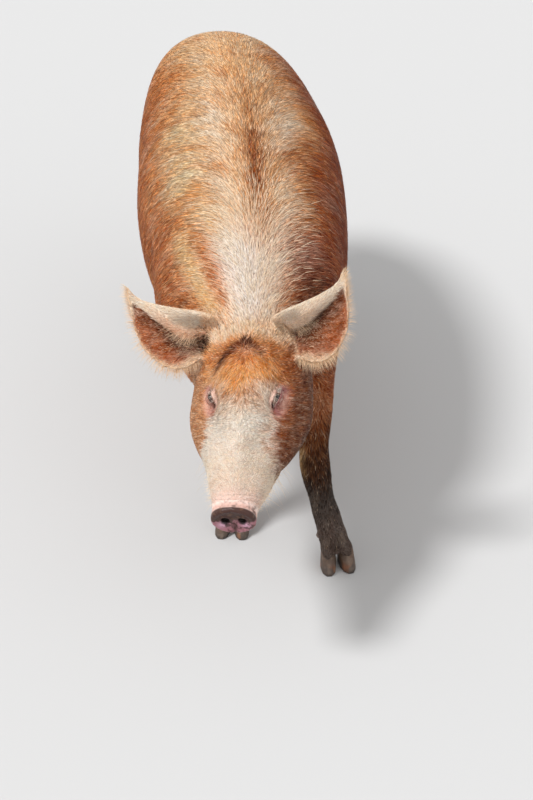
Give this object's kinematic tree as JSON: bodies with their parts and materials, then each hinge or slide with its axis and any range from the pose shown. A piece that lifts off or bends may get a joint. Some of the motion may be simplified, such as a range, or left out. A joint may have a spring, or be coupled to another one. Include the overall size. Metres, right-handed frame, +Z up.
{
  "type": "pig",
  "caption": "Ginger Tamworth-type pig, young adult, standing with its head lowered, one foreleg a step ahead and both ears pricked out sideways; a still, life-size model.",
  "frame": {"origin": "on the floor, at the middle of the ground that the pig covers", "axes": "the pig faces -Y, its left side is +X, and +Z is up"},
  "size_m": [0.4338, 1.4134, 0.7073],
  "materials": {
    "coat": "ginger bristles lying flat over skin",
    "muddy_skin": "short bristles matted with dried mud",
    "snout": "bare damp skin with mud",
    "eye": "wet",
    "hoof": "dull horn with mud"
  },
  "bodies": {
    "root": {"head": "coat", "snout": "snout", "lower_jaw": "coat", "neck": "coat", "trunk": "coat", "tail": "coat", "ear_left": "coat", "ear_right": "coat", "eye_left": "eye", "eye_right": "eye", "leg_fore_left": "coat", "leg_fore_right": "coat", "leg_hind_left": "coat", "leg_hind_right": "coat", "trotter_fore_left": "muddy_skin", "trotter_fore_right": "muddy_skin", "trotter_hind_left": "muddy_skin", "trotter_hind_right": "muddy_skin", "claw_fore_left_outer": "hoof", "claw_fore_left_inner": "hoof", "claw_fore_right_outer": "hoof", "claw_fore_right_inner": "hoof", "claw_hind_left_outer": "hoof", "claw_hind_left_inner": "hoof", "claw_hind_right_outer": "hoof", "claw_hind_right_inner": "hoof", "dewclaw_fore_left_outer": "hoof", "dewclaw_fore_left_inner": "hoof", "dewclaw_fore_right_outer": "hoof", "dewclaw_fore_right_inner": "hoof", "dewclaw_hind_left_outer": "hoof", "dewclaw_hind_left_inner": "hoof", "dewclaw_hind_right_outer": "hoof", "dewclaw_hind_right_inner": "hoof"}
  },
  "joints": []
}
